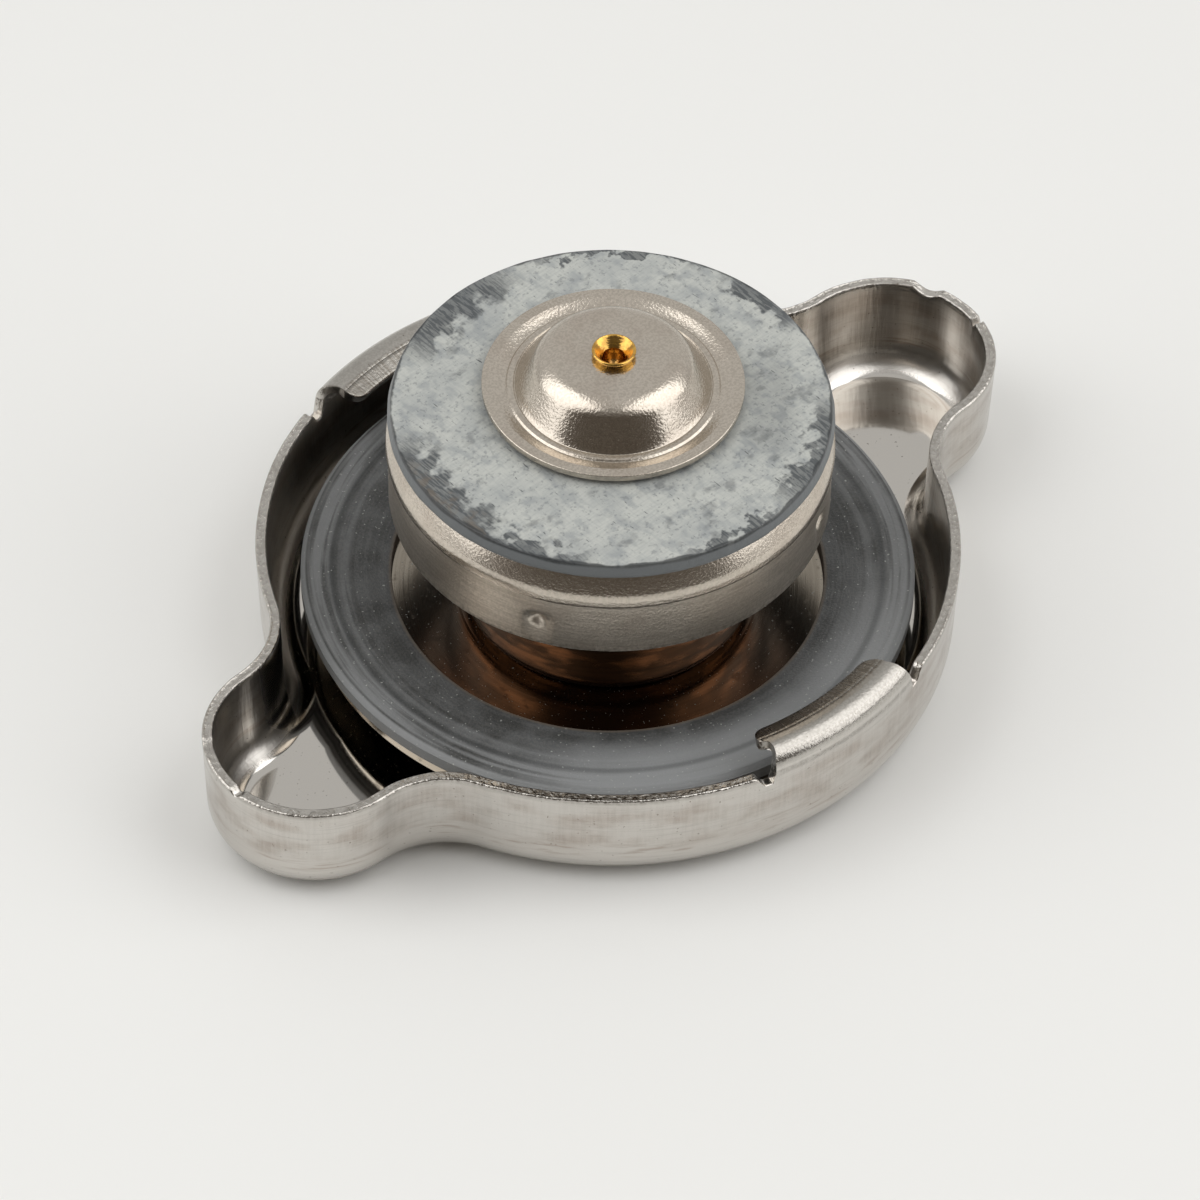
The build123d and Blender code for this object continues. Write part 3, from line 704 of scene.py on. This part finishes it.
def build_cover():
    """The stamped cover: one closed wall swept round the plan, with two lugs drawn out of its rim."""
    s = bpy.context.scene.cap_cover
    stations = cover_stations(s)
    set_rim_drops(s, stations)
    rings = cover_rings(s)
    bm = bmesh.new()
    station_of = bm.verts.layers.int.new("station")
    ring_of = bm.verts.layers.int.new("ring")
    first = []
    for i, station in enumerate(stations):
        vert = bm.verts.new(ring_point(s, station, rings[0]))
        vert[station_of] = i
        first.append(vert)
    loop = [bm.edges.new(pair) for pair in zip(first, first[1:] + first[:1])]
    first_loop = loop
    for number, ring in enumerate(rings[1:], 1):
        grown = set(bmesh.ops.extrude_edge_only(bm, edges=loop)["geom"])
        loop = [g for g in grown if isinstance(g, bmesh.types.BMEdge) and all(v in grown for v in g.verts)]
        for vert in (g for g in grown if isinstance(g, bmesh.types.BMVert)):
            vert[ring_of] = number
            vert.co = ring_point(s, stations[vert[station_of]], ring)
    bmesh.ops.bridge_loops(bm, edges=loop + first_loop)
    bmesh.ops.recalc_face_normals(bm, faces=bm.faces)
    for middle in LUG_MIDDLES:
        draw_lug(bm, s, stations, rings, station_of, ring_of, middle)
    return bm


def draw_lug(bm, s, stations, rings, station_of, ring_of, middle):
    """Draws one cam lug out of the rim's top faces: up, over its bend and in to its lip."""
    top = range(RIM_RINGS)
    inside = {i for i, place in enumerate(stations)
              if place.kind == "body" and abs(place.turn() - middle) <= s.lug_half}
    faces = [f for f in bm.faces if all(v[station_of] in inside and v[ring_of] in top for v in f.verts)]
    if not faces:
        raise RuntimeError("the cover's rim has no faces to draw a lug from")
    steps = lug_stations()
    whole = sum(run for run, _ in LUG_WAY)
    for k, (pull, rise, lean) in enumerate(steps[1:], 1):
        grown = bmesh.ops.extrude_face_region(bm, geom=faces)["geom"]
        old = [f for f in faces if f.is_valid]
        if old:
            bmesh.ops.delete(bm, geom=old, context="FACES_ONLY")
        faces = [g for g in grown if isinstance(g, bmesh.types.BMFace)]
        gone = whole * k / (len(steps) - 1)
        left = whole - gone
        corner = 0.0
        if left < LUG_CORNER:
            corner = LUG_CORNER - sqrt(max(0.0, LUG_CORNER ** 2 - (LUG_CORNER - left) ** 2))
        taper = LUG_TAPER * min(1.0, gone / (1.8 * MM))
        curl = LUG_WAIST * bell_shape((gone - 1.4 * MM) / (1.0 * MM))
        curl -= LUG_FLARE * (1 - bell_shape(max(0.0, gone - 1.7 * MM) / (0.8 * MM)))
        for vert in {v for f in faces for v in f.verts}:
            station = stations[vert[station_of]]
            _, inset, height = rings[vert[ring_of]]
            across, along = inset - s.sheet / 2, height - s.rim
            radius = s.body - s.sheet / 2 - pull - across * cos(lean) - along * sin(lean)
            level = s.rim + rise - across * sin(lean) + along * cos(lean)
            share = (station.turn() - middle) / s.lug_half
            shift = -share * corner - max(0.0, share) * taper + max(0.0, -share) * curl
            angle = middle + share * s.lug_half + shift / s.body
            vert.co = (radius * cos(angle), radius * sin(angle), level)
    bmesh.ops.recalc_face_normals(bm, faces=bm.faces)


class CAP_OT_cover(bpy.types.Operator):
    """Makes the stamped nickel-plated cover with its ears and cam lugs"""
    bl_idname = "cap.cover"
    bl_label = "Cover"

    def execute(self, context):
        add_piece("cap_shell", build_cover(), "cover", bright_nickel())
        return {"FINISHED"}


class CAP_OT_spring_disc(bpy.types.Operator):
    """Makes the polished spring disc that carries the upper gasket"""
    bl_idname = "cap.spring_disc"
    bl_label = "Spring disc"

    def execute(self, context):
        s = context.scene.cap_stack
        half = s.disc_sheet / 2
        mid = low("bell_housing") - half
        edge = half_width("spring_disc") - half
        foot = low("spring_disc") + 0.02 * MM
        corners = [(s.neck, mid), (s.disc_flat, mid, 0.8 * MM), (edge, mid + s.disc_rise, 0.5 * MM),
                   (edge, max(foot, mid + s.disc_rise - 1.15 * MM))]
        add_piece("spring_disc", turned(corners, closed=False, longest=0.6 * MM), "seal_stack",
                  polished_spring_steel(), s.disc_sheet, 0.06 * MM)
        return {"FINISHED"}


class CAP_OT_upper_gasket(bpy.types.Operator):
    """Makes the dark rubber ring that seals the top of the filler neck"""
    bl_idname = "cap.upper_gasket"
    bl_label = "Upper gasket"

    def execute(self, context):
        s = context.scene.cap_stack
        inner, outer = s.gasket_inner, half_width("upper_gasket")
        edge = half_width("spring_disc")
        slope = s.disc_rise / (edge - s.disc_sheet / 2 - s.disc_flat)
        low_in = low("upper_gasket") + 0.01 * MM
        low_out = low_in + slope * (edge - 0.75 * MM - inner)
        top_in, bevel = low_in + s.gasket_thickness, s.gasket_bevel
        top_out = top_in + slope * (outer - bevel - inner)
        soft = 0.08 * MM
        corners = [(inner, low_in, soft), (edge - 0.75 * MM, low_out), (outer, low_out, soft),
                   (outer, top_out - bevel, soft), (outer - bevel, top_out, soft), (inner, top_in, soft)]
        bm = turned(corners, longest=0.35 * MM)
        for vert in bm.verts:
            reach = hypot(vert.co.x, vert.co.y)
            if vert.co.z > top_in - soft / 2 + slope * (reach - inner) - bevel:
                ridge = 0.03 * MM * bell_shape((reach - 17.3 * MM) / (0.7 * MM))
                vert.co.z += ridge - 0.03 * MM + stray(vert.co, 5 * MM, 0.02 * MM)
        add_piece("upper_gasket", bm, "seal_stack", dark_rubber())
        return {"FINISHED"}


class CAP_OT_bell(bpy.types.Operator):
    """Makes the copper-toned bell housing round the main spring"""
    bl_idname = "cap.bell"
    bl_label = "Bell housing"

    def execute(self, context):
        s = context.scene.cap_stack
        half = s.bell_sheet / 2
        bottom, flange = low("bell_housing") + half, high("bell_housing") - half
        wall, mouth = s.bell - half, s.bell_mouth - half
        corners = [(s.neck, bottom), (wall, bottom, 1.0 * MM), (wall, s.bell_straight, 1.8 * MM),
                   (mouth, flange - 1.8 * MM, 1.2 * MM), (mouth, flange, 0.5 * MM),
                   (half_width("bell_housing"), flange)]
        add_piece("bell_housing", turned(corners, closed=False, longest=0.6 * MM), "seal_stack",
                  copper_film(), s.bell_sheet, 0.08 * MM)
        return {"FINISHED"}


DIMPLES = 4
FIRST_DIMPLE = radians(28.5)    # where the first one stands, from +X


class CAP_OT_valve_cup(bpy.types.Operator):
    """Makes the satin valve cup with its bead, hem and punched dimples"""
    bl_idname = "cap.valve_cup"
    bl_label = "Valve cup"

    def execute(self, context):
        s = context.scene.cap_valves
        bottom, hem_top = low("valve_cup"), high("valve_cup")
        inner, bead = s.cup - s.cup_sheet, s.cup + s.bead
        hem_inner, shoulder = s.cup - s.hem, s.cup - s.hem + 0.15 * MM
        soft = 0.06 * MM
        corners = [
            (inner, bottom, soft), (s.cup, bottom, soft), (s.cup, s.skirt_top, 0.05 * MM),
            (bead, s.skirt_top + 0.08 * MM, 0.05 * MM), (bead, s.skirt_top + 0.85 * MM, 1.2 * MM),
            (shoulder, hem_top, 0.10 * MM), (hem_inner, hem_top, 0.05 * MM),
            (hem_inner, s.plate_top), (s.cup_hole, s.plate_top),
            (s.cup_hole, s.plate_top - s.cup_sheet), (inner, s.plate_top - s.cup_sheet, 0.2 * MM)]
        bm = turned(corners, steps=2 * TURN_STEPS, longest=0.15 * MM, past=inner + 0.1 * MM)
        skin = [v for v in bm.verts if hypot(v.co.x, v.co.y) > s.cup - 0.3 * MM]
        for vert in skin:
            reach = Vector((vert.co.x, vert.co.y, 0)).normalized()
            vert.co += reach * stray(vert.co, 4 * MM, 0.03 * MM)
        self.punch_dimples(skin, s)
        add_piece("valve_cup", bm, "pressure_valve",
                  satin_nickel("satin_nickel_brushed", 0.24, True))
        return {"FINISHED"}

    def punch_dimples(self, skin, s):
        """Pushes the four dimples in from outside, each with a strained flat round it."""
        drop = s.dimple_height - low("valve_cup")
        for i in range(DIMPLES):
            angle = FIRST_DIMPLE + tau * i / DIMPLES
            spot = Vector((s.cup * cos(angle), s.cup * sin(angle), s.dimple_height))
            inward = Vector((-cos(angle), -sin(angle), 0))
            along = Vector((-sin(angle), cos(angle), 0))
            for vert in skin:
                away = vert.co - spot
                if vert.co.z < s.skirt_top and away.length < 3.5 * MM:
                    # The pit is deeper at its upper left, seen from outside, than at its lower right
                    pit = max(0.0, 1 - (away.length / s.dimple) ** 2) ** 2 * s.dimple_depth
                    pit *= 1 + 0.6 * (away.z - away.dot(along)) / s.dimple
                    below = min(1.0, 1 + away.z / drop)
                    above = bell_shape(max(0.0, away.z) / (1.0 * MM))
                    beside = bell_shape(max(0.0, abs(away.dot(along)) - 0.35 * MM) / (0.85 * MM))
                    vert.co += inward * (pit + s.facet * below * above * beside)


class CAP_OT_pressure_gasket(bpy.types.Operator):
    """Makes the pale rubber disc that seals the pressure valve"""
    bl_idname = "cap.pressure_gasket"
    bl_label = "Pressure gasket"

    def execute(self, context):
        s = context.scene.cap_valves
        face, lip = high("pressure_gasket"), half_width("pressure_gasket")
        pocket = s.cup - s.hem - 0.05 * MM
        under = high("valve_cup") + 0.05 * MM
        corners = [(s.gasket_hole, s.plate_top), (pocket, s.plate_top), (pocket, under),
                   (lip, under, 0.08 * MM), (lip - 0.02 * MM, under + 0.25 * MM, 0.2 * MM),
                   (s.gasket_edge, face - 0.01 * MM, 0.1 * MM), (s.gasket_hole, face - 0.01 * MM)]
        bm = turned(corners, steps=2 * TURN_STEPS, longest=0.4 * MM)
        for vert in bm.verts:
            reach = hypot(vert.co.x, vert.co.y)
            if reach > pocket + 0.05 * MM:
                out = Vector((vert.co.x, vert.co.y, 0)).normalized()
                vert.co -= out * abs(stray(vert.co, 2.2 * MM, 0.06 * MM))
            if vert.co.z > under + 0.3 * MM:
                vert.co.z -= abs(stray(vert.co, 4 * MM, 0.05 * MM))
        add_piece("pressure_gasket", bm, "pressure_valve", bloomed_rubber())
        return {"FINISHED"}


class CAP_OT_vacuum_disc(bpy.types.Operator):
    """Makes the domed vacuum disc with its rim, groove and ledge"""
    bl_idname = "cap.vacuum_disc"
    bl_label = "Vacuum disc"

    def execute(self, context):
        s = context.scene.cap_valves
        hole, edge = s.stem + 0.03 * MM, half_width("vacuum_disc")
        under, top = low("vacuum_disc"), high("vacuum_disc")
        groove = under + s.disc_sheet
        rim, ledge = groove + s.groove, groove + 0.12 * MM
        corners = [
            (hole, top), (4.62 * MM, top, 1.7 * MM), (6.34 * MM, groove + 0.02 * MM, 0.05 * MM),
            (6.42 * MM, ledge, 0.03 * MM), (6.80 * MM, ledge, 0.03 * MM), (6.92 * MM, groove, 0.04 * MM),
            (7.74 * MM, rim, 0.16 * MM), (edge, rim, 0.06 * MM), (edge, rim - s.disc_sheet, 0.06 * MM),
            (7.80 * MM, rim - s.disc_sheet, 0.3 * MM), (7.0 * MM, under, 0.2 * MM),
            (6.16 * MM, under, 0.15 * MM), (4.38 * MM, top - s.disc_sheet, 1.2 * MM),
            (hole, top - s.disc_sheet)]
        bm = turned(corners, longest=0.5 * MM, centre=valve_axis())
        add_piece("vacuum_disc", bm, "vacuum_valve",
                  satin_nickel("satin_nickel_blasted", 0.20, False))
        return {"FINISHED"}


class CAP_OT_vacuum_stem(bpy.types.Operator):
    """Makes the brass stem with its flared, hollow head"""
    bl_idname = "cap.vacuum_stem"
    bl_label = "Vacuum stem"

    def execute(self, context):
        s = context.scene.cap_valves
        bottom, top = low("vacuum_stem"), high("vacuum_stem")
        tail = half_width("vacuum_stem")
        disc = high("vacuum_disc")
        corners = [
            (0, top - 1.9 * MM), (0.5 * MM, top - 1.35 * MM, 0.05 * MM),
            (0.66 * MM, top - 1.0 * MM, 0.1 * MM),
            (0.70 * MM, top - 0.62 * MM, 0.1 * MM), (1.24 * MM, top - 0.06 * MM, 0.06 * MM),
            (1.34 * MM, top, 0.05 * MM), (s.stem_head, top - 0.10 * MM, 0.08 * MM),
            (s.stem_head - 0.06 * MM, top - 0.26 * MM, 0.1 * MM), (1.18 * MM, disc + 0.01 * MM, 0.05 * MM),
            (s.stem, disc - 0.02 * MM), (s.stem, bottom + 0.5 * MM), (tail, bottom + 0.5 * MM, 0.03 * MM),
            (tail, bottom, 0.25 * MM), (0, bottom)]
        bm = turned(corners, closed=False, steps=128, centre=valve_axis())
        add_piece("vacuum_stem", bm, "vacuum_valve", turned_brass())
        return {"FINISHED"}


class CAP_OT_rivet(bpy.types.Operator):
    """Makes the centre rivet, whose head shows in the outer face"""
    bl_idname = "cap.rivet"
    bl_label = "Centre rivet"

    def execute(self, context):
        bottom, top = low("centre_rivet"), high("centre_rivet")
        head = half_width("centre_rivet")
        shoulder, neck, formed = 3.0 * MM, 2.0 * MM, 3.3 * MM
        seat = low("spacer_washer")
        washer = high("rivet_washer")
        corners = [
            (0, bottom), (head, bottom, 0.4 * MM), (head, bottom + 1.0 * MM, 0.05 * MM),
            (shoulder, bottom + 1.0 * MM), (shoulder, seat), (neck, seat), (neck, washer),
            (formed, washer, 0.05 * MM), (formed, top, 0.85 * MM), (0, top)]
        add_piece("centre_rivet", turned(corners, closed=False, steps=160), "seal_stack",
                  plain_steel())
        return {"FINISHED"}


SPRINGS = (   # node, the body it rides on, the joint that shortens it, and whether its upper end stays
    ("main_spring", "seal_stack", "pressure_lift", False),
    ("vacuum_spring", "pressure_valve", "vacuum_lift", True),
)


def drawn_wire():
    """Oil-tempered spring wire: dark grey, with fine lines from drawing"""
    f = Finish("drawn_spring_wire", "steel", 0.30)
    lines = f.spots(f.banded, 0.15, 0.38, 0.62, (3, 3, 1), 2)
    f.coat([lines], "worn", 0.45, 0.40)
    f.coat([f.spots(f.point, 1.1, 0.52, 0.66)], "tarnish_and_painted_shade", 0.35)
    f.work([lines], 0.004)
    return f.done(Metallic=1.0)


class CAP_OT_springs(bpy.types.Operator):
    """Makes the two coil springs, each riding on its body; their shortening as the valves are pushed or
    drawn is not made here
    """
    bl_idname = "cap.springs"
    bl_label = "Springs"

    def execute(self, context):
        wire = drawn_wire()
        for node, body, joint, upper_stays in SPRINGS:
            bm = bmesh.new()
            bm.from_mesh(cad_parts[node].data)
            bmesh.ops.remove_doubles(bm, verts=bm.verts, dist=0.0005 * MM)
            spring = add_piece(node, bm, body, wire)
            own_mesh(spring)
        return {"FINISHED"}


class CAP_OT_inner_parts(bpy.types.Operator):
    """Gives the washers, seat and retainer inside the cap their plain steel finish"""
    bl_idname = "cap.inner_parts"
    bl_label = "Inner parts"

    def execute(self, context):
        steel = plain_steel()
        for node in ("spacer_washer", "rivet_washer", "spring_seat", "vacuum_retainer"):
            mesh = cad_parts[node].data
            mesh.materials.clear()
            mesh.materials.append(steel)
            mesh.shade_smooth()
        return {"FINISHED"}


FLOOR_SIZE = 3.0
LENS = 224.6                # millimetres on a 36 mm sensor
CAMERA_PLACE = Vector((-231.08, -242.49, 363.1)) * MM
CAMERA_HEADING = radians(46.46)
CAMERA_PITCH = radians(47.15)
CAMERA_ROLL = radians(1.18)
LAMPS = (   # name, heading and elevation in degrees, distance, width and height, watts
    ("left_box", 145, 41, 0.60, 0.56, 0.82, 2.3),
    ("right_box", -52, 41, 0.60, 0.56, 0.82, 2.3),
)


def aim(heading, elevation):
    """A unit vector towards a heading from +X and an elevation, in radians."""
    return Vector((cos(heading) * cos(elevation), sin(heading) * cos(elevation), sin(elevation)))


class CAP_OT_stage(bpy.types.Operator):
    """Sets up the pale floor, the soft boxes, the sky and the camera"""
    bl_idname = "cap.stage"
    bl_label = "Stage"

    def execute(self, context):
        self.lay_floor(context)
        self.hang_lamps(context)
        self.set_sky(context)
        self.place_camera(context)
        context.scene.view_settings.view_transform = "Standard"
        return {"FINISHED"}

    def lay_floor(self, context):
        bm = bmesh.new()
        bmesh.ops.create_grid(bm, x_segments=1, y_segments=1, size=FLOOR_SIZE / 2)
        mesh = bpy.data.meshes.new("floor")
        bm.to_mesh(mesh)
        bm.free()
        floor = bpy.data.objects.new("floor", mesh)
        context.scene.collection.objects.link(floor)
        board = Finish("matt_white_board", "floor", 0.5)
        mesh.materials.append(board.done())

    def hang_lamps(self, context):
        for name, heading, elevation, distance, width, height, power in LAMPS:
            light = bpy.data.lights.new(name, "AREA")
            light.shape, light.size, light.size_y, light.energy = "RECTANGLE", width, height, power
            lamp = bpy.data.objects.new(name, light)
            away = aim(radians(heading), radians(elevation))
            lamp.location = away * distance
            lamp.rotation_euler = away.to_track_quat("Z", "Y").to_euler()
            context.scene.collection.objects.link(lamp)

    def set_sky(self, context):
        """A pale room whose camera side is darker, and plain white behind the object."""
        world = bpy.data.worlds.new("studio")
        context.scene.world = world
        world.use_nodes = True
        tree = world.node_tree
        tree.nodes.clear()
        look = add_node(tree, "ShaderNodeTexCoord", {}, "Generated")
        away = aim(CAMERA_HEADING, radians(35))
        facing = add_node(tree, "ShaderNodeVectorMath", {0: look, 1: away}, "Value",
                          operation="DOT_PRODUCT")
        rise = add_node(tree, "ShaderNodeMapRange", {"Value": facing, "From Min": -0.35, "From Max": 0.75},
                        interpolation_type="SMOOTHSTEP")
        room = add_node(tree, "ShaderNodeMix",
                        {0: rise, 6: (0.105, 0.090, 0.075, 1), 7: (0.64, 0.635, 0.62, 1)}, 2,
                        data_type="RGBA")
        seen = add_node(tree, "ShaderNodeLightPath", {}, "Is Camera Ray")
        room = add_node(tree, "ShaderNodeMix", {0: seen, 6: room, 7: (0.85, 0.85, 0.84, 1)}, 2,
                        data_type="RGBA")
        glow = add_node(tree, "ShaderNodeBackground", {"Color": room})
        add_node(tree, "ShaderNodeOutputWorld", {"Surface": glow}, None)

    def place_camera(self, context):
        forward = aim(CAMERA_HEADING, -CAMERA_PITCH)
        right = aim(CAMERA_HEADING - pi / 2, 0)
        up = right.cross(forward)
        tilted_right = right * cos(CAMERA_ROLL) + up * sin(CAMERA_ROLL)
        tilted_up = up * cos(CAMERA_ROLL) - right * sin(CAMERA_ROLL)
        data = bpy.data.cameras.new("camera")
        data.lens, data.clip_start, data.clip_end = LENS, 0.01, 10
        camera = bpy.data.objects.new("camera", data)
        turned_axes = Matrix((tilted_right, tilted_up, -forward)).transposed().to_4x4()
        camera.matrix_world = Matrix.Translation(CAMERA_PLACE) @ turned_axes
        context.scene.collection.objects.link(camera)
        context.scene.camera = camera


STEPS = (CAP_OT_cover, CAP_OT_spring_disc, CAP_OT_upper_gasket, CAP_OT_bell, CAP_OT_valve_cup,
         CAP_OT_pressure_gasket, CAP_OT_vacuum_disc, CAP_OT_vacuum_stem, CAP_OT_rivet,
         CAP_OT_springs, CAP_OT_inner_parts, CAP_OT_stage)


class CAP_PT_panel(bpy.types.Panel):
    """Lists the cap's pieces in the sidebar"""
    bl_idname = "CAP_PT_panel"
    bl_label = "Radiator cap"
    bl_space_type = "VIEW_3D"
    bl_region_type = "UI"
    bl_category = "Cap"

    def draw(self, context):
        for step in STEPS:
            self.layout.operator(step.bl_idname)


GROUPS = {"cap_cover": CoverSizes, "cap_stack": StackSizes, "cap_valves": ValveSizes,
          "cap_colours": CapColours}


def register():
    for group in GROUPS.values():
        bpy.utils.register_class(group)
    for name, group in GROUPS.items():
        setattr(bpy.types.Scene, name, bpy.props.PointerProperty(type=group))
    for step in (*STEPS, CAP_PT_panel):
        bpy.utils.register_class(step)


def unregister():
    for step in (CAP_PT_panel, *reversed(STEPS)):
        bpy.utils.unregister_class(step)
    for name, group in reversed(list(GROUPS.items())):
        delattr(bpy.types.Scene, name)
        bpy.utils.unregister_class(group)


def main():
    """Runs every step in order."""
    register()
    for step in STEPS:
        group, name = step.bl_idname.split(".")
        getattr(getattr(bpy.ops, group), name)()


if __name__ == "__main__":
    main()
